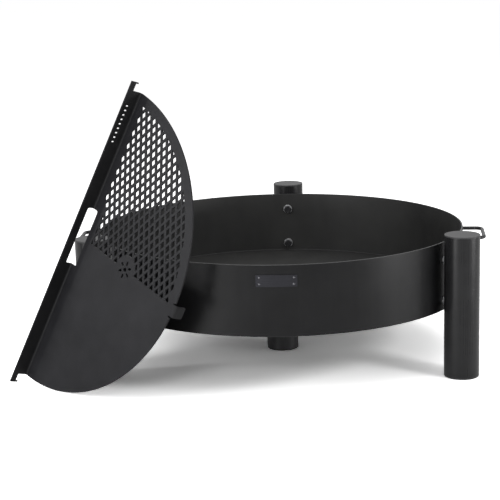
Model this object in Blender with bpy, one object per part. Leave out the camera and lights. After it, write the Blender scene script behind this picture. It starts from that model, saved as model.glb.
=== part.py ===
"""Round steel fire pit on three tube legs, with a half-moon grill plate leaning on one leg.

Metres, +Z up. The origin is on the floor, under the centre of the bowl.
"""

import math

import bmesh
import bpy
from mathutils import Matrix, Vector

# Fits
touch_gap = 0.0003  # left between pieces that rest on each other or are welded

# Bowl
bowl_radius = 0.400  # outside of the rolled wall
wall_thickness = 0.003
rim_height = 0.280
bowl_depth = 0.145  # rim to the underside of the floor
floor_thickness = 0.003
bowl_segments = 128

# Legs
leg_names = ("rear", "right", "left")
first_leg_angle = math.radians(87.5)
leg_radius = 0.0365
leg_tube_wall = 0.0025
leg_height = 0.300
leg_gap = 0.005  # between the bowl and a leg, bridged by the nuts
leg_plate_thickness = 0.003  # the cap on top and the foot plate underneath
leg_segments = 40

# Bolts that hold the legs
upper_bolt_drop = 0.038  # rim to the axis of the upper bolt
bolt_spacing = 0.086  # upper to lower bolt
bolt_radius = 0.005
bolt_hole_radius = 0.0055
bolt_head_width = 0.017  # across flats
bolt_head_height = 0.0064
bolt_tip = 0.006  # past the inside of the tube
bolt_chamfer = 0.001
nut_width = 0.017  # across flats
washer_radius = 0.0105
washer_thickness = 0.002
fastener_segments = 12

# Foot under the middle of the floor
centre_tube_radius = 0.035
centre_tube_wall = 0.0025
centre_plate_thickness = 0.003

# Carrying handles, bent from round rod
handle_angles = (math.radians(-4.5), math.radians(178.5))
handle_drop = 0.0195  # rim to the rod's axis
handle_rod_radius = 0.004
handle_width = 0.104  # between the rod's axes
handle_reach = 0.045  # bowl to the axis of the outer run
handle_bend = 0.014
handle_sides = 8

# Badge plate, left bare
badge_angle = math.radians(-91.2)
badge_width = 0.082
badge_height = 0.024
badge_thickness = 0.0015
badge_drop = 0.0195  # rim to the top edge
badge_corner = 0.0015
rivet_inset = 0.0072  # side edge of the badge to a rivet
rivet_row_spacing = 0.013
rivet_shank_radius = 0.0015
rivet_hole_radius = 0.0018
rivet_head_radius = 0.0026
rivet_head_height = 0.0014

# Grill plate: one sheet, cut flat and folded
plate_thickness = 0.003
plate_radius = 0.324
chord_offset = 0.0095  # the fold's distance in front of the arc's centre
fold_radius = 0.004  # inside of the fold
flange_height = 0.0335  # plate face to the flange's edge
arc_segments = 96
fold_segments = 4

# Hooks at the two ends of the flange
hook_length = 0.019
hook_width = 0.0125
lip_drop = 0.0058
lip_thickness = 0.003

# Hand slot across the fold
slot_length = 0.126
slot_offset = -0.0025  # towards the grille
slot_in_plate = 0.0142
slot_in_flange = 0.0147
slot_corner = 0.004

# Lug folded back from the middle of the arc
lug_width = 0.0245
lug_offset = 0.0078
lug_height = 0.017
lug_corner = 0.003
lug_relief_width = 0.003
lug_relief_depth = 0.006

# Row of small slots near one end of the flange
small_slot_count = 9
small_slot_spacing = 0.0098
small_slot_width = 0.0032
small_slot_length = 0.0078
small_slot_from_end = 0.033
small_slot_from_edge = 0.0130  # flange edge to the middle of the row

# Grille: the diamonds fill the half of the plate on the negative side of the dividing radius
diamond_length = 0.02855  # centre to centre along the fold
diamond_width = 0.01715
bar_width = 0.0050
first_diamond = (-0.0024, 0.0314)  # centre of one opening, from the dividing radius and the fold
grille_fold_margin = 0.018
grille_slot_margin = 0.018
grille_arc_margin = 0.0205
smallest_opening = 9e-6  # square metres

# Round boss on the dividing radius, with a plain rosette
boss_distance = 0.151  # from the fold
boss_radius = 0.029
rosette_hole_radius = 0.0045
petal_count = 6
petal_width = 0.0048
petal_inner = 0.0085
petal_outer = 0.0185

# How the plate leans on the left leg
plate_facing = math.radians(228.07)
plate_lean = math.radians(16.14)
plate_turn = math.radians(18.76)
lean_point = -0.003  # fold to the leg's outermost point, which lies in the open hand slot


def clear_scene():
    for obj in list(bpy.data.objects):
        bpy.data.objects.remove(obj, do_unlink=True)


def finish(name, colour, roughness, metallic):
    material = bpy.data.materials.new(name)
    material.use_nodes = True
    shader = material.node_tree.nodes["Principled BSDF"]
    shader.inputs["Base Color"].default_value = (*colour, 1)
    shader.inputs["Roughness"].default_value = roughness
    shader.inputs["Metallic"].default_value = metallic
    material.diffuse_color = (*colour, 1)
    return material


def add_object(name, mesh, material=None):
    obj = bpy.data.objects.new(name, mesh)
    if material:
        mesh.materials.clear()
        mesh.materials.append(material)
    bpy.context.scene.collection.objects.link(obj)
    return obj


def ring(radius, height, segments):
    """A circle of points round Z."""
    step = 2 * math.pi / segments
    return [
        (radius * math.cos(i * step), radius * math.sin(i * step), height)
        for i in range(segments)
    ]


def hexagon(width, height, segments):
    """A hexagon of the given width across flats, with the same number of points as a ring."""
    step = 2 * math.pi / segments
    points = []
    for i in range(segments):
        from_flat = (i * step + math.pi / 6) % (math.pi / 3) - math.pi / 6
        radius = width / 2 / math.cos(from_flat)
        points.append((radius * math.cos(i * step), radius * math.sin(i * step), height))
    return points


def loft(name, rings, hollow=False):
    """A closed mesh through rings of points: its ends are capped, or joined when it is hollow."""
    count = len(rings[0])
    points = [point for one in rings for point in one]
    faces = []
    spans = len(rings) if hollow else len(rings) - 1
    for j in range(spans):
        below = j * count
        above = (j + 1) % len(rings) * count
        for i in range(count):
            after = (i + 1) % count
            faces.append((below + i, below + after, above + after, above + i))
    if not hollow:
        faces.append(tuple(reversed(range(count))))
        faces.append(tuple(range((len(rings) - 1) * count, len(rings) * count)))
    mesh = bpy.data.meshes.new(name)
    mesh.from_pydata(points, [], faces)
    mesh.update()
    mesh.shade_smooth()
    mesh.set_sharp_from_angle(angle=math.radians(30))
    return mesh


def tube_mesh(name, outer, inner, bottom, top, segments):
    """A round tube, open at both ends."""
    rings = [
        ring(outer, bottom, segments),
        ring(outer, top, segments),
        ring(inner, top, segments),
        ring(inner, bottom, segments),
    ]
    return loft(name, rings, hollow=True)


def disc_mesh(name, radius, bottom, top, segments):
    return loft(name, [ring(radius, bottom, segments), ring(radius, top, segments)])


def cut(obj, cutter):
    """Cuts a hidden helper out of an object."""
    cutter.hide_render = True
    cutter.display_type = "WIRE"
    modifier = obj.modifiers.new("cut " + cutter.name, "BOOLEAN")
    modifier.operation = "DIFFERENCE"
    modifier.solver = "EXACT"
    modifier.object = cutter


def lay_radially(obj, angle, radius, height):
    """Turns an object's Z axis outwards from the bowl's axis and moves it there."""
    obj.rotation_euler = (0, math.pi / 2, angle)
    obj.location = (radius * math.cos(angle), radius * math.sin(angle), height)


def radial_cutter(name, angle, height, hole_radius, inner, outer):
    cutter = add_object(name, disc_mesh(name, hole_radius, 0, outer - inner, fastener_segments * 2))
    lay_radially(cutter, angle, inner, height)
    return cutter


def turned_round(angle):
    return Matrix.Rotation(angle, 4, "Z")


# Sizes that follow from the ones above
floor_underside = rim_height - bowl_depth
leg_circle = bowl_radius + leg_gap + leg_radius
leg_angles = [first_leg_angle - i * 2 * math.pi / len(leg_names) for i in range(len(leg_names))]
bolt_heights = {
    "upper": rim_height - upper_bolt_drop,
    "lower": rim_height - upper_bolt_drop - bolt_spacing,
}
rivet_heights = [
    rim_height - badge_drop - badge_height / 2 + side * rivet_row_spacing / 2 for side in (1, -1)
]
rivet_angles = [
    badge_angle + side * (badge_width / 2 - rivet_inset) / bowl_radius for side in (-1, 1)
]


def make_bowl():
    paint = finish("bowl black paint", (0.028, 0.028, 0.029), 0.55, 0.0)
    inner_radius = bowl_radius - wall_thickness
    wall = add_object(
        "bowl_wall",
        tube_mesh("bowl_wall", bowl_radius, inner_radius, floor_underside, rim_height, bowl_segments),
        paint,
    )
    for leg, angle in zip(leg_names, leg_angles):
        for level, height in bolt_heights.items():
            name = f"bolt_hole_{leg}_{level}"
            reach = (inner_radius - washer_radius, bowl_radius + leg_gap / 2)
            cut(wall, radial_cutter(name, angle, height, bolt_hole_radius, *reach))
    for i, angle in enumerate(rivet_angles):
        for j, height in enumerate(rivet_heights):
            name = f"rivet_hole_{i}_{j}"
            reach = (inner_radius - leg_gap, bowl_radius + leg_gap)
            cut(wall, radial_cutter(name, angle, height, rivet_hole_radius, *reach))
    floor_radius = inner_radius - touch_gap
    floor_top = floor_underside + floor_thickness
    add_object(
        "bowl_floor",
        disc_mesh("bowl_floor", floor_radius, floor_underside, floor_top, bowl_segments),
        finish("floor black paint", (0.030, 0.030, 0.031), 0.6, 0.0),
    )


def make_legs():
    paint = finish("leg black paint", (0.032, 0.032, 0.033), 0.5, 0.0)
    cap_paint = finish("leg cap paint", (0.06, 0.06, 0.061), 0.55, 0.0)
    foot_paint = finish("leg foot paint", (0.025, 0.025, 0.026), 0.6, 0.0)
    tube_bottom = leg_plate_thickness + touch_gap
    tube_top = leg_height - leg_plate_thickness - touch_gap
    for leg, angle in zip(leg_names, leg_angles):
        place = turned_round(angle) @ Matrix.Translation((leg_circle, 0, 0))
        name = f"leg_tube_{leg}"
        inner = leg_radius - leg_tube_wall
        tube = add_object(
            name, tube_mesh(name, leg_radius, inner, tube_bottom, tube_top, leg_segments), paint
        )
        tube.matrix_world = place
        for level, height in bolt_heights.items():
            cutter_name = f"leg_hole_{leg}_{level}"
            reach = (bowl_radius + leg_gap / 2, leg_circle)
            cut(tube, radial_cutter(cutter_name, angle, height, bolt_hole_radius, *reach))
        name = f"leg_cap_{leg}"
        top = disc_mesh(
            name, leg_radius, leg_height - leg_plate_thickness, leg_height, leg_segments
        )
        add_object(name, top, cap_paint).matrix_world = place
        name = f"leg_foot_{leg}"
        foot = disc_mesh(name, leg_radius, 0, leg_plate_thickness, leg_segments)
        add_object(name, foot, foot_paint).matrix_world = place


def bolt_mesh(washer_face):
    """Hex head inside the bowl; the shank runs out along Z, from the washer to inside the tube."""
    head_top = washer_face - bolt_head_height
    tube_inside = bowl_radius + leg_gap + leg_tube_wall
    end = tube_inside + bolt_tip
    rings = [
        ring(bolt_head_width / 2 * 0.94, head_top, fastener_segments),
        hexagon(bolt_head_width, head_top + bolt_chamfer, fastener_segments),
        hexagon(bolt_head_width, washer_face, fastener_segments),
        ring(bolt_radius, washer_face, fastener_segments),
        ring(bolt_radius, end - bolt_chamfer, fastener_segments),
        ring(bolt_radius - bolt_chamfer, end, fastener_segments),
    ]
    return loft("leg_bolt", rings)


def nut_mesh():
    """Hex nut welded to the tube: it fills the gap between the bowl and the leg."""
    bottom = bowl_radius + touch_gap
    top = bowl_radius + leg_gap - touch_gap
    bore = bolt_radius + touch_gap
    rings = [
        hexagon(nut_width, bottom, fastener_segments),
        hexagon(nut_width, top, fastener_segments),
        ring(bore, top, fastener_segments),
        ring(bore, bottom, fastener_segments),
    ]
    return loft("leg_nut", rings, hollow=True)


def make_fasteners():
    zinc = finish("bolt blackened steel", (0.05, 0.05, 0.052), 0.4, 0.8)
    nut_finish = finish("nut zinc", (0.22, 0.22, 0.23), 0.4, 0.9)
    washer_finish = finish("washer zinc", (0.15, 0.15, 0.155), 0.4, 0.9)
    inner_radius = bowl_radius - wall_thickness
    # A flat washer touches the round wall at its edges, so it sits in by the wall's curve there.
    curve = inner_radius - math.sqrt(inner_radius**2 - washer_radius**2)
    washer_top = inner_radius - curve - touch_gap
    washer_bottom = washer_top - washer_thickness
    washer = tube_mesh(
        "leg_washer", washer_radius, bolt_hole_radius, washer_bottom, washer_top,
        fastener_segments + 4,
    )
    bolt = bolt_mesh(washer_bottom - touch_gap)
    nut = nut_mesh()
    for leg, angle in zip(leg_names, leg_angles):
        for level, height in bolt_heights.items():
            for kind, mesh, material in (
                ("bolt", bolt, zinc), ("washer", washer, washer_finish), ("nut", nut, nut_finish)
            ):
                piece = add_object(f"leg_{kind}_{leg}_{level}", mesh, material)
                lay_radially(piece, angle, 0, height)


def make_centre_foot():
    top = floor_underside - touch_gap
    bottom = centre_plate_thickness + touch_gap
    inner = centre_tube_radius - centre_tube_wall
    add_object(
        "centre_foot_tube",
        tube_mesh("centre_foot_tube", centre_tube_radius, inner, bottom, top, leg_segments),
        finish("centre foot paint", (0.024, 0.024, 0.025), 0.55, 0.0),
    )
    add_object(
        "centre_foot_plate",
        disc_mesh("centre_foot_plate", centre_tube_radius, 0, centre_plate_thickness, leg_segments),
        finish("centre foot plate paint", (0.022, 0.022, 0.023), 0.6, 0.0),
    )


def handle_path():
    """The rod's axis in plan: out from the bowl, across and back, with round bends."""
    half = handle_width / 2
    outer = bowl_radius + handle_reach
    start = bowl_radius * 0.96
    points = [(start, -half)]
    for side, first in ((-1, -math.pi / 2), (1, 0.0)):
        centre = (outer - handle_bend, side * (half - handle_bend))
        for i in range(fold_segments + 2):
            turn = first + i * math.pi / 2 / (fold_segments + 1)
            points.append(
                (centre[0] + handle_bend * math.cos(turn), centre[1] + handle_bend * math.sin(turn))
            )
    points.append((start, half))
    return [Vector((x, y, 0)) for x, y in points]


def swept_rod(name, path, radius, sides):
    """A round rod along a flat path, its sections mitred at the bends."""
    rings = []
    up = Vector((0, 0, 1))
    for i, point in enumerate(path):
        before = (point - path[i - 1]).normalized() if i else None
        after = (path[i + 1] - point).normalized() if i + 1 < len(path) else None
        along = ((before or after) + (after or before)).normalized()
        side = along.cross(up)
        stretch = 1 / side.dot((before or after).cross(up))
        section = []
        for j in range(sides):
            turn = 2 * math.pi * (j + 0.5) / sides
            offset = side * (math.cos(turn) * stretch) + up * math.sin(turn)
            section.append(tuple(point + offset * radius))
        rings.append(section)
    return loft(name, rings)


def make_handles():
    steel = finish("handle black rod", (0.03, 0.03, 0.031), 0.45, 0.0)
    trim_name = "bowl_outside"
    trim_radius = bowl_radius + touch_gap
    trim = add_object(
        trim_name, disc_mesh(trim_name, trim_radius, 0, rim_height * 2, bowl_segments)
    )
    for side, angle in zip(("right", "left"), handle_angles):
        name = f"handle_{side}"
        mesh = swept_rod(name, handle_path(), handle_rod_radius, handle_sides)
        handle = add_object(name, mesh, steel)
        place = Matrix.Translation((0, 0, rim_height - handle_drop))
        handle.matrix_world = place @ turned_round(angle)
        cut(handle, trim)


def rounded_box(left, right, bottom, top, corner, steps=3):
    """An outline with round corners, anticlockwise."""
    points = []
    for x, y, first in (
        (right - corner, bottom + corner, -math.pi / 2),
        (right - corner, top - corner, 0.0),
        (left + corner, top - corner, math.pi / 2),
        (left + corner, bottom + corner, math.pi),
    ):
        for i in range(steps + 1):
            turn = first + i * math.pi / 2 / steps
            points.append((x + corner * math.cos(turn), y + corner * math.sin(turn)))
    return points


def round_hole(x, y, radius, segments):
    step = 2 * math.pi / segments
    return [
        (x + radius * math.cos(i * step), y + radius * math.sin(i * step)) for i in range(segments)
    ]


def round_ended_slot(start, end, width, steps=3):
    """A slot between two points of the flat pattern, its ends half circles."""
    (x1, y1), (x2, y2) = start, end
    heading = math.atan2(y2 - y1, x2 - x1)
    points = []
    for x, y, first in ((x2, y2, heading - math.pi / 2), (x1, y1, heading + math.pi / 2)):
        for i in range(steps + 1):
            turn = first + i * math.pi / steps
            points.append((x + width / 2 * math.cos(turn), y + width / 2 * math.sin(turn)))
    return points


def sheet_mesh(name, loops, fold_lines, thickness, folded):
    """A sheet cut along flat loops, then folded.

    fold_lines are places along the pattern's second axis where the sheet bends. folded takes a
    point of the pattern and a depth below the front face, and gives its place after folding.
    """
    flat = bmesh.new()
    for loop in loops:
        points = [flat.verts.new((x, y, 0)) for x, y in loop]
        for i, point in enumerate(points):
            flat.edges.new((point, points[(i + 1) % len(points)]))
    bmesh.ops.triangle_fill(flat, use_beauty=True, edges=flat.edges[:])
    for place in fold_lines:
        everything = flat.verts[:] + flat.edges[:] + flat.faces[:]
        bmesh.ops.bisect_plane(
            flat, geom=everything, dist=1e-7, plane_co=(0, place, 0), plane_no=(0, 1, 0)
        )
    flat.verts.index_update()
    flat.normal_update()
    count = len(flat.verts)
    points = [folded(v.co.x, v.co.y, 0.0) for v in flat.verts]
    points += [folded(v.co.x, v.co.y, thickness) for v in flat.verts]
    faces = []
    for face in flat.faces:
        corners = [v.index for v in face.verts]
        if face.normal.z < 0:
            corners.reverse()
        faces.append(tuple(corners))
        faces.append(tuple(i + count for i in reversed(corners)))
        for i, corner in enumerate(corners):
            after = corners[(i + 1) % len(corners)]
            edge = flat.edges.get((flat_vert(flat, corner), flat_vert(flat, after)))
            if len(edge.link_faces) == 1:
                faces.append((corner, corner + count, after + count, after))
    flat.free()
    mesh = bpy.data.meshes.new(name)
    mesh.from_pydata(points, [], faces)
    mesh.update()
    mesh.shade_smooth()
    mesh.set_sharp_from_angle(angle=math.radians(35))
    return mesh


def flat_vert(flat, index):
    flat.verts.ensure_lookup_table()
    return flat.verts[index]


def make_badge():
    half_width = badge_width / 2
    half_height = badge_height / 2
    hole_x = half_width - rivet_inset
    hole_y = rivet_row_spacing / 2
    # The pattern's second axis runs round the bowl, because that is the way the badge bends.
    loops = [rounded_box(-half_height, half_height, -half_width, half_width, badge_corner)]
    for x in (-hole_x, hole_x):
        for y in (-hole_y, hole_y):
            loops.append(round_hole(y, x, rivet_hole_radius, fastener_segments))
    bends = 8
    fold_lines = [-half_width + badge_width * i / bends for i in range(1, bends)]
    outer = bowl_radius + touch_gap + badge_thickness
    middle = rim_height - badge_drop - half_height

    def wrapped(up, along, depth):
        turn = badge_angle + along / outer
        radius = outer - depth
        return (radius * math.cos(turn), radius * math.sin(turn), middle - up)

    mesh = sheet_mesh("badge_plate", loops, fold_lines, badge_thickness, wrapped)
    add_object("badge_plate", mesh, finish("badge dark enamel", (0.07, 0.065, 0.075), 0.35, 0.3))

    steel = finish("rivet stainless", (0.55, 0.55, 0.56), 0.25, 1.0)
    seat = outer + touch_gap
    inside = bowl_radius - wall_thickness
    rings = [
        ring(rivet_shank_radius, inside, fastener_segments),
        ring(rivet_shank_radius, seat, fastener_segments),
        ring(rivet_head_radius, seat, fastener_segments),
        ring(rivet_head_radius * 0.85, seat + rivet_head_height * 0.6, fastener_segments),
        ring(rivet_head_radius * 0.4, seat + rivet_head_height, fastener_segments),
    ]
    rivet = loft("badge_rivet", rings)
    number = 0
    for angle in rivet_angles:
        for height in rivet_heights:
            number += 1
            piece = add_object(f"badge_rivet_{number}", rivet, steel)
            lay_radially(piece, angle, 0, height)


def trimmed(polygon, x, y, normal_x, normal_y):
    """The part of a convex polygon on the side of a line that its normal points to."""
    kept = []
    for i, (ax, ay) in enumerate(polygon):
        bx, by = polygon[(i + 1) % len(polygon)]
        a = (ax - x) * normal_x + (ay - y) * normal_y
        b = (bx - x) * normal_x + (by - y) * normal_y
        if a >= 0:
            kept.append((ax, ay))
        if (a > 0 > b) or (a < 0 < b):
            share = a / (a - b)
            kept.append((ax + (bx - ax) * share, ay + (by - ay) * share))
    return kept


def area(polygon):
    total = 0.0
    for i, (ax, ay) in enumerate(polygon):
        bx, by = polygon[(i + 1) % len(polygon)]
        total += ax * by - bx * ay
    return total / 2


def diamond_openings():
    """Openings of the grille, as outlines measured from the dividing radius and the fold."""
    half_length = diamond_length / 2
    half_width = diamond_width / 2
    slope = math.atan2(half_width, half_length)
    open_length = half_length - bar_width / 2 / math.sin(slope)
    open_width = half_width - bar_width / 2 / math.cos(slope)
    outer = plate_radius - grille_arc_margin
    slot_end = slot_offset - slot_length / 2 - grille_slot_margin
    slot_side = slot_in_plate + grille_slot_margin
    reach = int(2 * plate_radius / min(half_length, half_width))
    openings = []
    for row in range(-reach, reach):
        for column in range(-reach, reach):
            if (row + column) % 2:
                continue
            x = first_diamond[0] + row * half_length
            y = first_diamond[1] + column * half_width
            distance = math.hypot(x, y + chord_offset)
            if distance > outer + half_length or y < -half_width or x > half_length:
                continue
            outline = [
                (x + open_length, y), (x, y + open_width), (x - open_length, y), (x, y - open_width)
            ]
            outline = trimmed(outline, 0, 0, -1, 0)
            outline = trimmed(outline, 0, grille_fold_margin, 0, 1)
            out_x = x / distance
            out_y = (y + chord_offset) / distance
            outline = trimmed(
                outline, out_x * outer, out_y * outer - chord_offset, -out_x, -out_y
            )
            beside = trimmed(outline, 0, slot_side, 0, 1)
            beyond = trimmed(outline, slot_end, 0, -1, 0)
            outline = max(beside, beyond, key=area)
            from_boss = math.hypot(x, y - boss_distance)
            if from_boss < boss_radius + half_length:
                away_x = x / from_boss if from_boss else 1.0
                away_y = (y - boss_distance) / from_boss if from_boss else 0.0
                outline = trimmed(
                    outline, away_x * boss_radius, boss_distance + away_y * boss_radius,
                    away_x, away_y,
                )
            if len(outline) > 2 and area(outline) > smallest_opening:
                openings.append(outline)
    return openings


def plate_outline(fold_length, end):
    """The sheet's outer edge in the flat, anticlockwise. The pattern starts where the fold does."""
    flange_start = -fold_length
    edge = flange_start - (flange_height - fold_radius)
    hook_inner = edge + hook_width
    lip_inner = hook_inner + lip_drop
    hook_end = end + hook_length
    points = [
        (-hook_end, edge), (hook_end, edge), (hook_end, lip_inner),
        (hook_end - lip_thickness, lip_inner), (hook_end - lip_thickness, hook_inner),
        (end, hook_inner),
    ]

    def on_arc(x):
        return math.sqrt(plate_radius**2 - x**2) - chord_offset - fold_radius

    left = lug_offset - lug_width / 2
    right = lug_offset + lug_width / 2
    base = on_arc(0)
    tip = base + (fold_radius + plate_thickness / 2) * math.pi / 2 + lug_height
    first = math.asin((chord_offset + fold_radius) / plate_radius)
    stop = math.acos((right + lug_relief_width) / plate_radius)
    restart = math.acos((left - lug_relief_width) / plate_radius)
    half_arc = arc_segments // 2
    for i in range(half_arc + 1):
        turn = first + (stop - first) * i / half_arc
        x = plate_radius * math.cos(turn)
        points.append((x, on_arc(x)))
    points += [
        (right + lug_relief_width, on_arc(right) - lug_relief_depth),
        (right, on_arc(right) - lug_relief_depth),
    ]
    for centre, first_turn in ((right - lug_corner, 0.0), (left + lug_corner, math.pi / 2)):
        for i in range(4):
            turn = first_turn + i * math.pi / 6
            points.append(
                (centre + lug_corner * math.cos(turn), tip - lug_corner * (1 - math.sin(turn)))
            )
    points += [
        (left, on_arc(left) - lug_relief_depth),
        (left - lug_relief_width, on_arc(left) - lug_relief_depth),
    ]
    for i in range(half_arc + 1):
        turn = restart + (math.pi - first - restart) * i / half_arc
        x = plate_radius * math.cos(turn)
        points.append((x, on_arc(x)))
    points += [
        (-end, hook_inner), (-hook_end + lip_thickness, hook_inner),
        (-hook_end + lip_thickness, lip_inner), (-hook_end, lip_inner),
    ]
    return points


def grill_plate_mesh():
    """The plate in its own frame: X along the fold, Y across the plate, Z out of its front face."""
    fold_length = (fold_radius + plate_thickness / 2) * math.pi / 2
    end = math.sqrt(plate_radius**2 - (chord_offset + fold_radius) ** 2)
    edge = -fold_length - (flange_height - fold_radius)
    lug_start = plate_radius - chord_offset - fold_radius
    loops = [plate_outline(fold_length, end)]
    loops.append(
        rounded_box(
            slot_offset - slot_length / 2,
            slot_offset + slot_length / 2,
            -fold_length - (slot_in_flange - fold_radius),
            slot_in_plate - fold_radius,
            slot_corner,
        )
    )
    row = edge + small_slot_from_edge
    reach = (small_slot_length - small_slot_width) / 2
    for i in range(small_slot_count):
        x = -end + small_slot_from_end + i * small_slot_spacing
        loops.append(round_ended_slot((x, row - reach), (x, row + reach), small_slot_width))
    boss_y = boss_distance - fold_radius
    loops.append(round_hole(0, boss_y, rosette_hole_radius, fastener_segments))
    for i in range(petal_count):
        turn = i * 2 * math.pi / petal_count
        near = petal_inner + petal_width / 2
        far = petal_outer - petal_width / 2
        loops.append(
            round_ended_slot(
                (near * math.cos(turn), boss_y + near * math.sin(turn)),
                (far * math.cos(turn), boss_y + far * math.sin(turn)),
                petal_width,
            )
        )
    for outline in diamond_openings():
        loops.append([(x, y - fold_radius) for x, y in outline])
    fold_lines = [-fold_length * i / fold_segments for i in range(fold_segments + 1)]
    fold_lines += [lug_start + fold_length * i / fold_segments for i in range(fold_segments + 1)]

    def folded(x, y, depth):
        if y >= lug_start:
            turn = min((y - lug_start) / fold_length, 1.0) * math.pi / 2
            beyond = max(y - lug_start - fold_length, 0.0)
            radius = fold_radius + plate_thickness - depth
            return (
                x,
                lug_start + fold_radius + radius * math.sin(turn),
                -fold_radius - plate_thickness + radius * math.cos(turn) - beyond,
            )
        if y > 0:
            return (x, y + fold_radius, -depth)
        turn = min(-y / fold_length, 1.0) * math.pi / 2
        beyond = max(-y - fold_length, 0.0)
        radius = fold_radius + depth
        return (
            x,
            fold_radius - radius * math.sin(turn),
            fold_radius - radius * math.cos(turn) + beyond,
        )

    return sheet_mesh("grill_plate", loops, fold_lines, plate_thickness, folded)


def leaning_place(mesh):
    """Stands the plate on the floor with its back against the top edge of the left leg."""
    level = Vector((math.cos(plate_facing), math.sin(plate_facing), 0))
    up = Vector((0, 0, 1))
    face = level * math.cos(plate_lean) + up * math.sin(plate_lean)
    sideways = up.cross(face).normalized()
    rise = face.cross(sideways)
    across = sideways * math.cos(plate_turn) - rise * math.sin(plate_turn)
    along = across.cross(face)
    turn = Matrix((along, across, face)).transposed()
    leg_angle = leg_angles[leg_names.index("left")]
    leg_top = Vector((leg_circle * math.cos(leg_angle), leg_circle * math.sin(leg_angle), leg_height))
    outermost = leg_top + level * leg_radius
    fold_place = across.dot(outermost) - lean_point
    # The leg's edge reaches into the hand slot, so the plate rests where the sheet begins again.
    edge = [leg_top + Vector(point) for point in ring(leg_radius, 0, leg_segments * 9)]
    behind_sheet = [point for point in edge if across.dot(point) - fold_place >= slot_in_plate]
    touched = max(face.dot(point) for point in behind_sheet)
    lowest = min((turn @ vertex.co).z for vertex in mesh.vertices)
    # Three planes fix the place: the back on the leg, the fold beside the leg, and the floor.
    planes = Matrix((face, across, up))
    values = Vector((touched + plate_thickness + touch_gap, fold_place, -lowest))
    return Matrix.Translation(planes.inverted() @ values) @ turn.to_4x4()


def make_grill_plate():
    mesh = grill_plate_mesh()
    paint = finish("grill plate black paint", (0.035, 0.036, 0.038), 0.5, 0.0)
    add_object("grill_plate", mesh, paint).matrix_world = leaning_place(mesh)


clear_scene()
make_bowl()
make_legs()
make_fasteners()
make_centre_foot()
make_handles()
make_badge()
make_grill_plate()
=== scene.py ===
"""Looks of the steel fire pit: finishes, fine shapes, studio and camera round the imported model."""

import math

import bpy
from mathutils import Matrix, Vector


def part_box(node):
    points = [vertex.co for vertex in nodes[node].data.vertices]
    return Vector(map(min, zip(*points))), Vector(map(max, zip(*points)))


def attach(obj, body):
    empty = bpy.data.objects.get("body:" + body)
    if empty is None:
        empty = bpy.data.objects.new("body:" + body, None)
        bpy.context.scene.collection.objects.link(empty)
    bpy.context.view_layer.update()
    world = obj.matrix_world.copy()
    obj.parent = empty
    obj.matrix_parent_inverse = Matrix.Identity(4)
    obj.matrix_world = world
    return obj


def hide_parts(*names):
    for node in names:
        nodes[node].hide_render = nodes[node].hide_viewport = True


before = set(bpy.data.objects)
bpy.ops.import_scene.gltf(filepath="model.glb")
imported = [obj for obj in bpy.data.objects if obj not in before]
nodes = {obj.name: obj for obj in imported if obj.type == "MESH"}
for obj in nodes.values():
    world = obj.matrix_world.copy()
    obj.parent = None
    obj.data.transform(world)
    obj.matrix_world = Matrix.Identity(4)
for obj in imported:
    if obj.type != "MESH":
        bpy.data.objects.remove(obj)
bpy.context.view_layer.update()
scene = bpy.context.scene


# Bowl wall: a strip of 3 mm steel sheet, rolled into a hoop and butt-welded, the weld ground flat.
# Satin black stove paint is sprayed on and rounds its cut edges a little. Inside, the fire bakes
# the paint duller, and it is painted paler there, partly as painted light.
def linear(hex_colour):
    """An sRGB hex colour as the linear colour that a shader takes."""
    channels = [int(hex_colour[i : i + 2], 16) / 255 for i in (1, 3, 5)]
    return (*[c / 12.92 if c <= 0.04045 else ((c + 0.055) / 1.055) ** 2.4 for c in channels], 1)


def add(tree, kind, links=None, **settings):
    """Adds a node. A setting named as one of its sockets sets that, any other sets a property."""
    node = tree.nodes.new(kind)
    for name, value in settings.items():
        socket = next((s for s in node.inputs if s.name.replace(" ", "_") == name), None)
        if socket is None:
            setattr(node, name, value)
        else:
            socket.default_value = value
    for name, source in (links or {}).items():
        tree.links.new(source, node.inputs[name])
    return node


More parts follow.
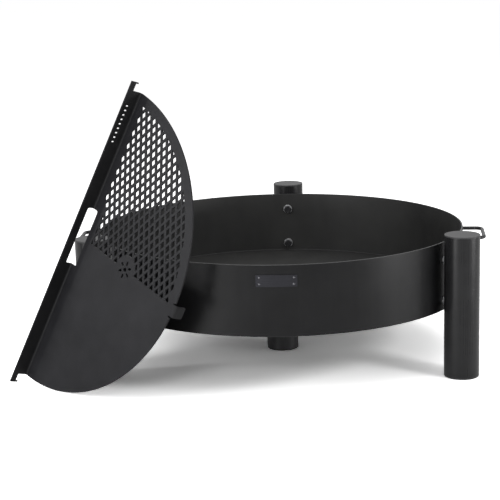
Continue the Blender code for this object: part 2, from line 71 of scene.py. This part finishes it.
def stove_paint(name, deep, pale, roughness, drawn=(1, 1, 1), drawn_depth=0.0, specular=0.3):
    """Sprayed satin black paint: cloudy over a hand's breadth, with a fine peel.

    drawn gives the scale of a second pattern along each axis, for the lines that rolling, drawing
    or firing leaves in the paint, and drawn_depth its share.
    """
    paint = bpy.data.materials.new(name)
    paint.use_nodes = True
    tree = paint.node_tree
    shader = tree.nodes["Principled BSDF"]
    place = add(tree, "ShaderNodeTexCoord").outputs["Object"]
    # Spray passes are about 120 mm wide.
    cloud = add(tree, "ShaderNodeTexNoise", {"Vector": place}, Scale=8.0, Detail=3.0, Roughness=0.6)
    stretch = add(tree, "ShaderNodeMapping", {"Vector": place}, Scale=drawn)
    lines = add(
        tree, "ShaderNodeTexNoise", {"Vector": stretch.outputs["Vector"]},
        Scale=1.0, Detail=4.0, Roughness=0.65,
    )
    # Of this node's sockets 0 is the share, and 2 and 3 are the two numbers it mixes.
    both = add(tree, "ShaderNodeMix", data_type="FLOAT")
    both.inputs[0].default_value = drawn_depth
    tree.links.new(cloud.outputs["Fac"], both.inputs[2])
    tree.links.new(lines.outputs["Fac"], both.inputs[3])
    tone = add(tree, "ShaderNodeValToRGB", {"Fac": both.outputs[0]})
    tone.color_ramp.elements[0].position = 0.33
    tone.color_ramp.elements[0].color = linear(deep)
    tone.color_ramp.elements[1].position = 0.68
    tone.color_ramp.elements[1].color = linear(pale)
    # Paint peel: about 1.2 mm from bump to bump, deeper than the real one so that it shows.
    peel = add(tree, "ShaderNodeTexNoise", {"Vector": place}, Scale=820.0, Detail=2.0)
    dull = add(tree, "ShaderNodeMapRange", {"Value": both.outputs[0]})
    dull.inputs["From Min"].default_value = 0.3
    dull.inputs["From Max"].default_value = 0.7
    dull.inputs["To Min"].default_value = roughness - 0.05
    dull.inputs["To Max"].default_value = roughness + 0.05
    ridges = add(
        tree, "ShaderNodeBump", {"Height": lines.outputs["Fac"]},
        Strength=0.25 * drawn_depth, Distance=0.0004,
    )
    bump = add(
        tree, "ShaderNodeBump", {"Height": peel.outputs["Fac"], "Normal": ridges.outputs["Normal"]},
        Strength=0.12, Distance=0.0003,
    )
    tree.links.new(tone.outputs["Color"], shader.inputs["Base Color"])
    tree.links.new(dull.outputs["Result"], shader.inputs["Roughness"])
    tree.links.new(bump.outputs["Normal"], shader.inputs["Normal"])
    shader.inputs["Specular IOR Level"].default_value = specular
    return paint


def shell(name, points, faces, crease=None):
    """A smooth mesh piece. Faces that meet at more than crease degrees keep a sharp edge."""
    mesh = bpy.data.meshes.new(name)
    mesh.from_pydata(points, [], faces)
    mesh.update()
    mesh.shade_smooth()
    if crease is not None:
        mesh.set_sharp_from_angle(angle=math.radians(crease))
    piece = bpy.data.objects.new(name, mesh)
    scene.collection.objects.link(piece)
    return piece


def turned(name, profile, segments, hollow=False, centre=(0, 0)):
    """A round piece: (radius, height) points turned about an upright axis.

    A hollow profile is closed on itself, and any other gets a flat face at both ends.
    """
    points = []
    for radius, height in profile:
        for i in range(segments):
            turn = 2 * math.pi * i / segments
            points.append(
                (centre[0] + radius * math.cos(turn), centre[1] + radius * math.sin(turn), height)
            )
    faces = []
    spans = len(profile) if hollow else len(profile) - 1
    for j in range(spans):
        below = j * segments
        above = (j + 1) % len(profile) * segments
        for i in range(segments):
            after = (i + 1) % segments
            faces.append((below + i, below + after, above + after, above + i))
    if not hollow:
        faces.append(tuple(reversed(range(segments))))
        faces.append(tuple(range((len(profile) - 1) * segments, len(profile) * segments)))
    return shell(name, points, faces, crease=35)


def soften(piece, width, edge_slot=0):
    """Rounds the sharp edges, which take the material at edge_slot."""
    bevel = piece.modifiers.new("paint-rounded edges", "BEVEL")
    bevel.width = width
    bevel.segments = 2
    bevel.limit_method = "ANGLE"
    bevel.angle_limit = math.radians(40)
    bevel.harden_normals = True
    bevel.use_clamp_overlap = False
    bevel.material = edge_slot


def fit(piece, body, slot, materials, *replaced):
    """Gives a piece its finish and puts it on its body, in place of the CAD nodes it stands for."""
    held = [face.material_index for face in piece.data.polygons]
    piece.data.materials.clear()
    for material in materials:
        piece.data.materials.append(material)
    piece.data.polygons.foreach_set("material_index", held)
    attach(piece, body)
    if replaced:
        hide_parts(*replaced)


wall_low, wall_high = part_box("bowl_wall")
bowl_radius = (wall_high[0] - wall_low[0]) / 2
wall_thickness = 0.003
# Satin stove paint on rolled sheet: a soft gloss, with faint upright bands about 17 mm apart where
# the rolls pressed the sheet.
bowl_paint = stove_paint(
    "satin_black_stove_paint", "#0e0e0f", "#161617", roughness=0.35,
    drawn=(60, 60, 5), drawn_depth=0.3, specular=0.17,
)
# The same paint baked by the fire, duller, in upright blotches about 30 mm wide. Its paler grey
# is partly the fire's and partly painted light, for the light the inner wall catches from above.
baked_paint_and_painted_light = stove_paint(
    "baked_stove_paint", "#151515", "#1f1f1e", roughness=0.46,
    drawn=(30, 30, 8), drawn_depth=0.3, specular=0.5,
)
# Paint thins where it runs over a cut edge, and the edges are painted paler:
# thin paint and a painted highlight.
edge_paint_and_highlight = stove_paint("thin_paint_on_cut_edges", "#29292a", "#3a3a3b", roughness=0.42)
wall = turned(
    "rolled_bowl_wall",
    [
        (bowl_radius, wall_low[2]), (bowl_radius, wall_high[2]),
        (bowl_radius - wall_thickness, wall_high[2]), (bowl_radius - wall_thickness, wall_low[2]),
    ],
    segments=256,
    hollow=True,
)
# The faces that look inwards take the baked paint, with its painted light.
for face in wall.data.polygons:
    outward = Vector((face.center.x, face.center.y, 0))
    face.material_index = 1 if face.normal.dot(outward) < -0.1 * outward.length else 0
soften(wall, width=0.0006, edge_slot=2)
fit(wall, "fire_pit", "bowl_paint", [bowl_paint, baked_paint_and_painted_light, edge_paint_and_highlight], "bowl_wall")


# Bowl floor: a disc of 3 mm sheet set into the lower end of the wall and welded all round.
# The weld's heat leaves it a little wavy, and the fire bakes its paint dull. Its pale tone
# is partly the fire's and partly painted light.
def weld_ring(name, centre, axis, radius, bead):
    """A weld bead of that half width run round a circle, its ripples about 3 mm apart."""
    axis = Vector(axis).normalized()
    first = axis.orthogonal().normalized()
    second = axis.cross(first)
    ripple_pitch = 0.003
    steps_per_ripple = 4
    ripples = max(8, round(2 * math.pi * radius / ripple_pitch))
    steps = ripples * steps_per_ripple
    sides = 8
    points = []
    faces = []
    for i in range(steps):
        turn = 2 * math.pi * i / steps
        outward = first * math.cos(turn) + second * math.sin(turn)
        along_ripple = (i / steps_per_ripple) % 1.0
        size = bead * (0.86 + 0.14 * math.cos(math.pi * (along_ripple - 0.5)))
        for j in range(sides):
            round_bead = 2 * math.pi * j / sides
            offset = outward * math.cos(round_bead) + axis * math.sin(round_bead)
            points.append(tuple(Vector(centre) + outward * radius + offset * size))
            here = i * sides
            ahead = (i + 1) % steps * sides
            after = (j + 1) % sides
            faces.append((here + j, ahead + j, ahead + after, here + after))
    return shell(name, points, faces)


floor_low, floor_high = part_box("bowl_floor")
floor_radius = bowl_radius - wall_thickness
floor_rings = 22
hub_radius = 0.004
profile = [(floor_radius, floor_low[2])]
profile += [(floor_radius * (1 - i / floor_rings), floor_high[2]) for i in range(floor_rings)]
profile += [(hub_radius, floor_high[2])]
bowl_floor = turned("dished_bowl_floor", profile, segments=160)
wave_height = 0.0007
# Points higher than this over the disc's underside are its upper face, which alone is wavy.
upper_face = 0.001
for point in bowl_floor.data.vertices:
    if point.co.z > floor_low[2] + upper_face:
        inside = 1 - (math.hypot(point.co.x, point.co.y) / floor_radius) ** 4
        swell = math.sin(point.co.x * 17 + 1.3) * math.cos(point.co.y * 13 - 0.6)
        point.co.z += wave_height * inside * swell
# The hottest paint, burnt matt: faint streaks about 25 mm wide run along the sheet. Its pale grey
# is partly burnt in and partly painted light, for the light on the floor seen at a low angle.
floor_paint = stove_paint(
    "baked_floor_paint", "#1c1c1c", "#292928", roughness=0.6, drawn=(40, 3, 3), drawn_depth=0.35
)
fit(bowl_floor, "fire_pit", "floor_paint", [floor_paint], "bowl_floor")
# The bead fills the corner between floor and wall.
floor_weld = weld_ring(
    "floor_weld", centre=(0, 0, floor_high[2] + 0.0003), axis=(0, 0, 1),
    radius=floor_radius - 0.0006, bead=0.0022,
)
# Paint over a weld: even and dull, because the ripples are in the bead itself.
weld_paint = stove_paint("painted_weld_bead", "#151515", "#1f1f1f", roughness=0.5)
fit(floor_weld, "fire_pit", "floor_paint", [weld_paint])


# Legs: three pieces of 73 mm drawn steel tube, each closed by a round cap and a foot plate that
# are welded on and ground flush. Drawing leaves fine upright lines in the tube under the paint.
leg_radius = 0.0365
leg_wall = 0.0025
ground_edge = 0.0008
# Satin paint on drawn tube: a soft gloss over upright lines. They are 2.4 mm apart, coarser than
# the real ones, so that they show.
tube_paint = stove_paint(
    "satin_black_paint_on_drawn_tube", "#111112", "#202021", roughness=0.28,
    drawn=(420, 420, 3), drawn_depth=0.3, specular=0.24,
)
# Paint settles thick and dull on the flat caps. They are painted paler than the tubes: a painted
# sheen for the light on their flat tops.
cap_paint = stove_paint(
    "satin_black_cap_paint", "#313132", "#3e3e3f", roughness=0.48, specular=0.28
)
leg_places = {}
for leg in ("rear", "right", "left"):
    low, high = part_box(f"leg_cap_{leg}")
    centre = ((low[0] + high[0]) / 2, (low[1] + high[1]) / 2)
    leg_places[leg] = centre
    foot_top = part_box(f"leg_foot_{leg}")[1][2]
    tube = turned(
        f"drawn_leg_tube_{leg}",
        [
            (leg_radius, foot_top), (leg_radius, low[2]),
            (leg_radius - leg_wall, low[2]), (leg_radius - leg_wall, foot_top),
        ],
        segments=96,
        hollow=True,
        centre=centre,
    )
    soften(tube, width=0.0002, edge_slot=1)
    fit(tube, "fire_pit", "leg_paint", [tube_paint, edge_paint_and_highlight], f"leg_tube_{leg}")
    cap = turned(
        f"ground_leg_cap_{leg}", [(leg_radius, low[2]), (leg_radius, high[2])],
        segments=96, centre=centre,
    )
    soften(cap, ground_edge, edge_slot=1)
    fit(cap, "fire_pit", "cap_paint", [cap_paint, edge_paint_and_highlight], f"leg_cap_{leg}")
    foot = turned(
        f"ground_leg_foot_{leg}", [(leg_radius, 0), (leg_radius, foot_top)],
        segments=96, centre=centre,
    )
    soften(foot, ground_edge, edge_slot=1)
    fit(foot, "fire_pit", "foot_paint", [tube_paint, edge_paint_and_highlight], f"leg_foot_{leg}")


# Bolts that hold the legs: M10 hexagon bolts, blackened, put in from inside the bowl over a zinc
# washer. Each one goes through a zinc nut that stands between the bowl and the leg.
def plated_steel(name, deep, pale, roughness):
    """Zinc or oxide on steel: mottled by its crystals, which break up its gloss."""
    plating = bpy.data.materials.new(name)
    plating.use_nodes = True
    tree = plating.node_tree
    shader = tree.nodes["Principled BSDF"]
    place = add(tree, "ShaderNodeTexCoord").outputs["Object"]
    # Crystals of 1 mm in blotches of 3 mm, coarser than the real ones so that they show.
    grain = add(tree, "ShaderNodeTexVoronoi", {"Vector": place}, Scale=1000.0)
    mottle = add(tree, "ShaderNodeTexNoise", {"Vector": place}, Scale=300.0, Detail=3.0)
    tone = add(tree, "ShaderNodeValToRGB", {"Fac": mottle.outputs["Fac"]})
    tone.color_ramp.elements[0].position = 0.3
    tone.color_ramp.elements[0].color = linear(deep)
    tone.color_ramp.elements[1].position = 0.7
    tone.color_ramp.elements[1].color = linear(pale)
    bump = add(
        tree, "ShaderNodeBump", {"Height": grain.outputs["Distance"]}, Strength=0.1, Distance=0.0001
    )
    tree.links.new(tone.outputs["Color"], shader.inputs["Base Color"])
    tree.links.new(bump.outputs["Normal"], shader.inputs["Normal"])
    shader.inputs["Metallic"].default_value = 1.0
    shader.inputs["Roughness"].default_value = roughness
    return plating


def hexagon_piece(name, flats, bottom, top, chamfer, bore=0.0):
    """A hexagon head or nut about Z, its corners turned away at the top, or at both ends."""
    count = 48
    corner = flats / math.sqrt(3)
    # The chamfer cuts more off the corners' radius than its own height.
    steepness = 1.7
    levels = [(bottom, chamfer if bore else 0.0), (bottom + chamfer, 0.0)]
    levels += [(top - chamfer, 0.0), (top - chamfer / 2, chamfer / 2), (top, chamfer)]
    points = []
    for height, cut in levels:
        for i in range(count):
            turn = 2 * math.pi * i / count
            from_flat = (turn + math.pi / 6) % (math.pi / 3) - math.pi / 6
            radius = min(flats / 2 / math.cos(from_flat), corner - cut * steepness)
            points.append((radius * math.cos(turn), radius * math.sin(turn), height))
    if bore:
        for height in (top, bottom):
            for i in range(count):
                turn = 2 * math.pi * i / count
                points.append((bore * math.cos(turn), bore * math.sin(turn), height))
    rings = len(points) // count
    faces = []
    for j in range(rings if bore else rings - 1):
        below = j * count
        above = (j + 1) % rings * count
        for i in range(count):
            after = (i + 1) % count
            faces.append((below + i, below + after, above + after, above + i))
    if not bore:
        faces.append(tuple(reversed(range(count))))
        faces.append(tuple(range((rings - 1) * count, rings * count)))
    return shell(name, points, faces, crease=25)


def stand_out(piece, angle, height):
    """Turns a piece's Z axis outwards from the bowl, at that angle and height, in its mesh."""
    turn = Matrix.Translation((0, 0, height)) @ Matrix.Rotation(angle, 4, "Z")
    piece.data.transform(turn @ Matrix.Rotation(math.pi / 2, 4, "Y"))
    piece.data.update()


# Black oxide: a thin dark skin that keeps some of the steel's gloss.
black_oxide = plated_steel("black_oxide_bolt_steel", "#3a3a3c", "#505052", roughness=0.38)
# Zinc dulled by heat: pale grey with a broad soft gloss.
dull_zinc = plated_steel("dulled_zinc", "#b4b5b7", "#d8d9da", roughness=0.45)
across_flats = 0.017
head_height = 0.0064
nut_height = 0.0047
thread_radius = 0.005
washer_outside = 0.0105
washer_hole = 0.0055
contact_gap = 0.0003
washer_thickness = 0.002
shank_end = bowl_radius + 0.0135
shank_chamfer = 0.001
washer_outer = bowl_radius - wall_thickness - contact_gap
washer_inner = washer_outer - washer_thickness
for leg, (x, y) in leg_places.items():
    angle = math.atan2(y, x)
    for level in ("upper", "lower"):
        low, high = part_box(f"leg_washer_{leg}_{level}")
        height = (low[2] + high[2]) / 2
        head = hexagon_piece(
            f"hexagon_bolt_{leg}_{level}", across_flats,
            bottom=-washer_inner, top=-washer_inner + head_height, chamfer=0.0012,
        )
        head.data.transform(Matrix.Rotation(math.pi, 4, "Y"))
        stand_out(head, angle, height)
        fit(head, "fire_pit", "bolt_steel", [black_oxide], f"leg_bolt_{leg}_{level}")
        shank = turned(
            f"bolt_shank_{leg}_{level}",
            [
                (thread_radius, washer_inner), (thread_radius, shank_end - shank_chamfer),
                (thread_radius - shank_chamfer, shank_end),
            ],
            segments=32,
        )
        stand_out(shank, angle, height)
        fit(shank, "fire_pit", "bolt_steel", [dull_zinc])
        washer = turned(
            f"flat_washer_{leg}_{level}",
            [
                (washer_outside, washer_inner), (washer_outside, washer_outer),
                (washer_hole, washer_outer), (washer_hole, washer_inner),
            ],
            segments=48,
            hollow=True,
        )
        stand_out(washer, angle, height)
        soften(washer, width=0.0002)
        fit(washer, "fire_pit", "washer_zinc", [dull_zinc], f"leg_washer_{leg}_{level}")
        nut = hexagon_piece(
            f"hexagon_nut_{leg}_{level}", across_flats,
            bottom=bowl_radius, top=bowl_radius + nut_height, chamfer=0.0009, bore=0.0052,
        )
        stand_out(nut, angle, height)
        fit(nut, "fire_pit", "nut_zinc", [dull_zinc], f"leg_nut_{leg}_{level}")


# Foot under the middle: a short piece of 70 mm tube, closed by a plate and welded to the floor.
# Only its lower end shows below the bowl in the photograph.
low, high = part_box("centre_foot_tube")
foot_radius = (high[0] - low[0]) / 2
foot_plate_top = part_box("centre_foot_plate")[1][2]
centre_tube = turned(
    "drawn_centre_tube",
    [
        (foot_radius, foot_plate_top), (foot_radius, high[2]),
        (foot_radius - leg_wall, high[2]), (foot_radius - leg_wall, foot_plate_top),
    ],
    segments=96,
    hollow=True,
)
# The leg tubes' paint, with the same fine lines and more gloss. It is painted paler than the legs:
# a painted reflection of the pale floor that the foot stands over.
centre_tube_paint_with_painted_reflection = stove_paint(
    "satin_black_paint_on_short_tube", "#1f1f20", "#2b2b2c", roughness=0.3,
    drawn=(420, 420, 3), drawn_depth=0.25, specular=0.5,
)
fit(centre_tube, "fire_pit", "centre_foot_paint", [centre_tube_paint_with_painted_reflection], "centre_foot_tube")
centre_weld = weld_ring(
    "centre_foot_weld", centre=(0, 0, high[2]), axis=(0, 0, 1), radius=foot_radius, bead=0.0022
)
fit(centre_weld, "fire_pit", "centre_foot_paint", [weld_paint])
centre_plate = turned(
    "ground_centre_plate", [(foot_radius, 0), (foot_radius, foot_plate_top)], segments=96
)
soften(centre_plate, ground_edge, edge_slot=1)
fit(centre_plate, "fire_pit", "centre_foot_paint", [tube_paint, edge_paint_and_highlight], "centre_foot_plate")


# Carrying handles: 8 mm round rod bent into a loop, both ends butted against the wall and welded
# all round. They are sprayed together with the bowl.
rod_radius = 0.004
handle_half = 0.052
handle_bend = 0.014
handle_reach = 0.0447
bend_steps = 12
# The rod's ends go a little into the wall, and the bead lies round them just outside it.
rod_sink = 0.001
bead_offset = 0.0006
# Satin paint on hot-rolled rod: a soft gloss, mottled every 3 mm or so by the scale under it.
# It is painted paler than the bowl's paint: a painted sheen for the gleam round the rod.
handle_paint_with_painted_sheen = stove_paint(
    "satin_black_paint_on_rod", "#242425", "#343435", roughness=0.36,
    drawn=(300, 300, 300), drawn_depth=0.4, specular=0.18,
)
for side, angle in (("right", math.radians(-4.5)), ("left", math.radians(178.5))):
    low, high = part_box(f"handle_{side}")
    height = (low[2] + high[2]) / 2
    outer = bowl_radius + handle_reach
    at_wall = math.sqrt(bowl_radius**2 - handle_half**2)
    path = [Vector((at_wall - rod_sink, -handle_half, 0))]
    for end, first in ((-1, -math.pi / 2), (1, 0.0)):
        for i in range(bend_steps + 1):
            turn = first + i * math.pi / 2 / bend_steps
            path.append(
                Vector((
                    outer - handle_bend + handle_bend * math.cos(turn),
                    end * (handle_half - handle_bend) + handle_bend * math.sin(turn),
                    0,
                ))
            )
    path.append(Vector((at_wall - rod_sink, handle_half, 0)))
    sides = 24
    points = []
    faces = []
    for i, point in enumerate(path):
        before = path[max(i - 1, 0)]
        after = path[min(i + 1, len(path) - 1)]
        aside = (after - before).normalized().cross(Vector((0, 0, 1)))
        for j in range(sides):
            turn = 2 * math.pi * j / sides
            offset = aside * math.cos(turn) + Vector((0, 0, math.sin(turn)))
            points.append(tuple(point + offset * rod_radius))
            if i:
                here = i * sides
                ahead = (j + 1) % sides
                faces.append((here - sides + j, here + j, here + ahead, here - sides + ahead))
    faces.append(tuple(range(sides)))
    faces.append(tuple(reversed(range((len(path) - 1) * sides, len(path) * sides))))
    handle = shell(f"bent_rod_handle_{side}", points, faces, crease=50)
    place = Matrix.Translation((0, 0, height)) @ Matrix.Rotation(angle, 4, "Z")
    handle.data.transform(place)
    fit(handle, "fire_pit", "handle_rod", [handle_paint_with_painted_sheen], f"handle_{side}")
    for end in (-1, 1):
        joint = place @ Vector((at_wall + bead_offset, end * handle_half, 0))
        outward = place.to_3x3() @ Vector((at_wall, end * handle_half, 0))
        weld = weld_ring(
            f"handle_weld_{side}_{'near' if end < 0 else 'far'}", centre=joint, axis=outward,
            radius=rod_radius + 0.0004, bead=0.0015,
        )
        fit(weld, "fire_pit", "handle_rod", [weld_paint])


# Badge plate: dark anodised aluminium, brushed along its length, bent to the bowl and riveted on.
# It is left bare. Four domed stainless rivets hold it.
def brushed(name, deep, pale, roughness, stretch):
    """Metal brushed one way: fine lines in tone, gloss and height."""
    metal = bpy.data.materials.new(name)
    metal.use_nodes = True
    tree = metal.node_tree
    shader = tree.nodes["Principled BSDF"]
    place = add(tree, "ShaderNodeTexCoord").outputs["Object"]
    mapping = add(tree, "ShaderNodeMapping", {"Vector": place}, Scale=stretch)
    lines = add(
        tree, "ShaderNodeTexNoise", {"Vector": mapping.outputs["Vector"]},
        Scale=1.0, Detail=5.0, Roughness=0.7,
    )
    tone = add(tree, "ShaderNodeValToRGB", {"Fac": lines.outputs["Fac"]})
    tone.color_ramp.elements[0].position = 0.3
    tone.color_ramp.elements[0].color = linear(deep)
    tone.color_ramp.elements[1].position = 0.7
    tone.color_ramp.elements[1].color = linear(pale)
    bump = add(
        tree, "ShaderNodeBump", {"Height": lines.outputs["Fac"]}, Strength=0.15, Distance=0.0001
    )
    tree.links.new(tone.outputs["Color"], shader.inputs["Base Color"])
    tree.links.new(bump.outputs["Normal"], shader.inputs["Normal"])
    shader.inputs["Metallic"].default_value = 1.0
    shader.inputs["Roughness"].default_value = roughness
    return metal


# Brush lines about 0.5 mm apart, drawn coarser than the real ones so that they show.
brush_lines = (20, 20, 2200)
# Dark anodised aluminium: a blue-grey sheen with brush lines along it. Its rounded edge is
# painted darker: painted shade, where it turns away into the plate's own shadow.
anodised = brushed("dark_anodised_badge", "#2a2a2d", "#38383c", 0.45, brush_lines)
badge_edge_painted_shade = brushed("shadowed_badge_edge", "#0c0c0e", "#161618", 0.5, brush_lines)
badge = bpy.data.objects.new("brushed_badge", nodes["badge_plate"].data.copy())
scene.collection.objects.link(badge)
soften(badge, width=0.0008, edge_slot=1)
fit(badge, "fire_pit", "badge_enamel", [anodised, badge_edge_painted_shade], "badge_plate")
# Stainless steel, dulled by heat: a soft gloss, scratched every way about 1 mm apart.
stainless = brushed("dull_stainless", "#505053", "#68686b", 0.3, (900, 900, 900))
rivet_shank = 0.0015
dome_radius = 0.0022
dome_height = 0.0012
# The domes sit on the badge's outer face.
seat = bowl_radius + 0.0018
for number in (1, 2, 3, 4):
    low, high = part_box(f"badge_rivet_{number}")
    middle = [(a + b) / 2 for a, b in zip(low, high)]
    dome = [(rivet_shank, bowl_radius - wall_thickness), (rivet_shank, seat)]
    for i in range(7):
        climb = i * math.pi / 14
        dome.append((dome_radius * math.cos(climb), seat + dome_height * math.sin(climb)))
    rivet = turned(f"domed_rivet_{number}", dome, segments=32)
    stand_out(rivet, math.atan2(middle[1], middle[0]), middle[2])
    fit(rivet, "fire_pit", "rivet_steel", [stainless], f"badge_rivet_{number}")


# Grill plate: one 3 mm sheet, laser-cut with its grille, slots and lug, then folded and sprayed.
# The paint rounds the cut edges, which are painted paler than the flat: thin paint and a
# painted highlight.
grill_plate = bpy.data.objects.new("cut_and_folded_grill_plate", nodes["grill_plate"].data.copy())
scene.collection.objects.link(grill_plate)
# Satin paint on flat sheet: even and rather matt, in clouds of about 40 mm.
plate_paint = stove_paint(
    "satin_black_paint_on_flat_sheet", "#18181a", "#222224", roughness=0.34,
    drawn=(24, 24, 24), drawn_depth=0.4, specular=0.08,
)
# The same paint rubbed dull, on the flange, the bend and the lug.
flange_paint = stove_paint(
    "dull_paint_on_flange", "#1a1a1b", "#242425", roughness=0.5,
    drawn=(24, 24, 24), drawn_depth=0.4, specular=0.1,
)
# The rubbed faces are found by direction, against the sheet's largest face and the flange's.
grill_faces = sorted(grill_plate.data.polygons, key=lambda face: face.area, reverse=True)
sheet_front = grill_faces[0].normal.copy()
flange_front = next(f.normal.copy() for f in grill_faces if abs(f.normal.dot(sheet_front)) < 0.1)
for face in grill_plate.data.polygons:
    across_fold = abs(face.normal.dot(flange_front))
    bend = across_fold > 0.3 and abs(face.normal.dot(sheet_front)) > 0.2
    if across_fold > 0.98 or bend:
        face.material_index = 2
soften(grill_plate, width=0.00035, edge_slot=1)
fit(
    grill_plate, "loose_grill_plate", "grill_paint",
    [plate_paint, edge_paint_and_highlight, flange_paint], "grill_plate",
)


# Studio floor: a plain flat sheet of pale paper that keeps the soft shadow. The camera sees it so
# bright that it is white beyond the shadow, as the paper in the photograph is.
def mirrored_rays(tree, path):
    """1 for what shows in gloss or through glass, and 0 for the rest."""
    mirrored = add(tree, "ShaderNodeMath", operation="MAXIMUM")
    tree.links.new(path.outputs["Is Glossy Ray"], mirrored.inputs[0])
    tree.links.new(path.outputs["Is Transmission Ray"], mirrored.inputs[1])
    return mirrored.outputs["Value"]


reach = 30
studio_floor = shell(
    "studio_floor",
    [(-reach, -reach, 0), (reach, -reach, 0), (reach, reach, 0), (-reach, reach, 0)],
    [(0, 1, 2, 3)],
)
# It lies just under the feet, so that no face lies in another.
studio_floor.location.z = -0.0004
# Matt paper: no gloss, and no grain that would show at this distance.
paper = bpy.data.materials.new("matt_white_paper")
paper.use_nodes = True
tree = paper.node_tree
tree.nodes.remove(tree.nodes["Principled BSDF"])
# The object is lit by the pale paper and mirrors it as white. The brighter colour is for camera
# rays alone, and puts no light on the object.
plain = add(tree, "ShaderNodeBsdfDiffuse", Color=linear("#cccccc"))
white = add(tree, "ShaderNodeBsdfDiffuse", Color=(1, 1, 1, 1))
bright = add(tree, "ShaderNodeBsdfDiffuse", Color=(2.0, 2.0, 2.0, 1))
path = add(tree, "ShaderNodeLightPath")
mirrored = add(tree, "ShaderNodeMixShader", {"Fac": mirrored_rays(tree, path)})
seen = add(tree, "ShaderNodeMixShader", {"Fac": path.outputs["Is Camera Ray"]})
tree.links.new(plain.outputs["BSDF"], mirrored.inputs[1])
tree.links.new(white.outputs["BSDF"], mirrored.inputs[2])
tree.links.new(mirrored.outputs["Shader"], seen.inputs[1])
tree.links.new(bright.outputs["BSDF"], seen.inputs[2])
tree.links.new(seen.outputs["Shader"], tree.nodes["Material Output"].inputs["Surface"])
studio_floor.data.materials.append(paper)


# Light: an even white room, a large softbox overhead, a key at the front right that throws the
# leg's shadow, a fill in front, two low strips, whose gleam runs along the wall and down the legs,
# and two softboxes at the left for the grill plate and the arc's edge.
world = bpy.data.worlds.new("white_room")
scene.world = world
world.use_nodes = True
tree = world.node_tree
backdrop = tree.nodes["Background"]
backdrop.inputs["Color"].default_value = (1, 1, 1, 1)
backdrop.inputs["Strength"].default_value = 1.0
room = add(tree, "ShaderNodeBackground", Color=(1, 1, 1, 1), Strength=0.5)
path = add(tree, "ShaderNodeLightPath")
mirrored = add(tree, "ShaderNodeMixShader", {"Fac": mirrored_rays(tree, path)})
shown = add(tree, "ShaderNodeMixShader", {"Fac": path.outputs["Is Camera Ray"]})
tree.links.new(room.outputs["Background"], mirrored.inputs[1])
tree.links.new(backdrop.outputs["Background"], mirrored.inputs[2])
tree.links.new(mirrored.outputs["Shader"], shown.inputs[1])
tree.links.new(backdrop.outputs["Background"], shown.inputs[2])
tree.links.new(shown.outputs["Shader"], tree.nodes["World Output"].inputs["Surface"])


def softbox(name, place, aim, size, power):
    """A rectangular lamp, its size in metres and its power in watts, turned to face a point."""
    light = bpy.data.lights.new(name, "AREA")
    light.shape = "RECTANGLE"
    light.size, light.size_y = size
    light.energy = power
    lamp = bpy.data.objects.new(name, light)
    scene.collection.objects.link(lamp)
    lamp.location = place
    lamp.rotation_euler = (Vector(aim) - Vector(place)).to_track_quat("-Z", "Y").to_euler()


softbox("overhead_softbox", place=(0.6, 0.2, 3.3), aim=(0, 0, 0), size=(2.6, 2.2), power=27)
softbox("key_softbox", place=(2.19, -1.65, 1.65), aim=(0.1, 0, 0.2), size=(0.6, 0.6), power=20)
softbox("front_softbox", place=(-1.0, -3.0, 1.45), aim=(0, -0.3, 0.1), size=(0.8, 0.6), power=12)
softbox("right_strip", place=(2.8, -1.15, 0.24), aim=(0.2, 0, 0.2), size=(1.0, 0.4), power=36)
softbox("left_strip", place=(-2.1, -2.2, 0.26), aim=(0.1, -0.2, 0.2), size=(1.0, 0.44), power=37)
softbox("left_softbox", place=(-2.2, -1.9, 1.6), aim=(0, 0, 0.3), size=(0.6, 1.2), power=30)
softbox(
    "upper_left_softbox", place=(-2.8, -0.6, 1.1), aim=(-0.3, -0.3, 0.3), size=(0.3, 0.9), power=11
)


# Camera: where the photograph was taken from, fitted to its outlines. It stands 3.07 m in front of
# the bowl's middle at 0.89 m, looks 12 degrees down and is rolled by 1.5 degrees.
camera_place = (0.0137, -3.0744, 0.8895)
camera_yaw = -0.0269
camera_pitch = 0.2129
camera_roll = -0.0258
focal_pixels = 1411.93
photo_pixels = 500
sensor_width = 36
lens = bpy.data.cameras.new("camera")
lens.sensor_width = sensor_width
lens.lens = sensor_width * focal_pixels / photo_pixels
camera = bpy.data.objects.new("camera", lens)
scene.collection.objects.link(camera)
camera.matrix_world = (
    Matrix.Translation(camera_place)
    @ Matrix.Rotation(-camera_yaw, 4, "Z")
    @ Matrix.Rotation(math.pi / 2 - camera_pitch, 4, "X")
    @ Matrix.Rotation(camera_roll, 4, "Z")
)
scene.camera = camera
scene.view_settings.view_transform = "Standard"
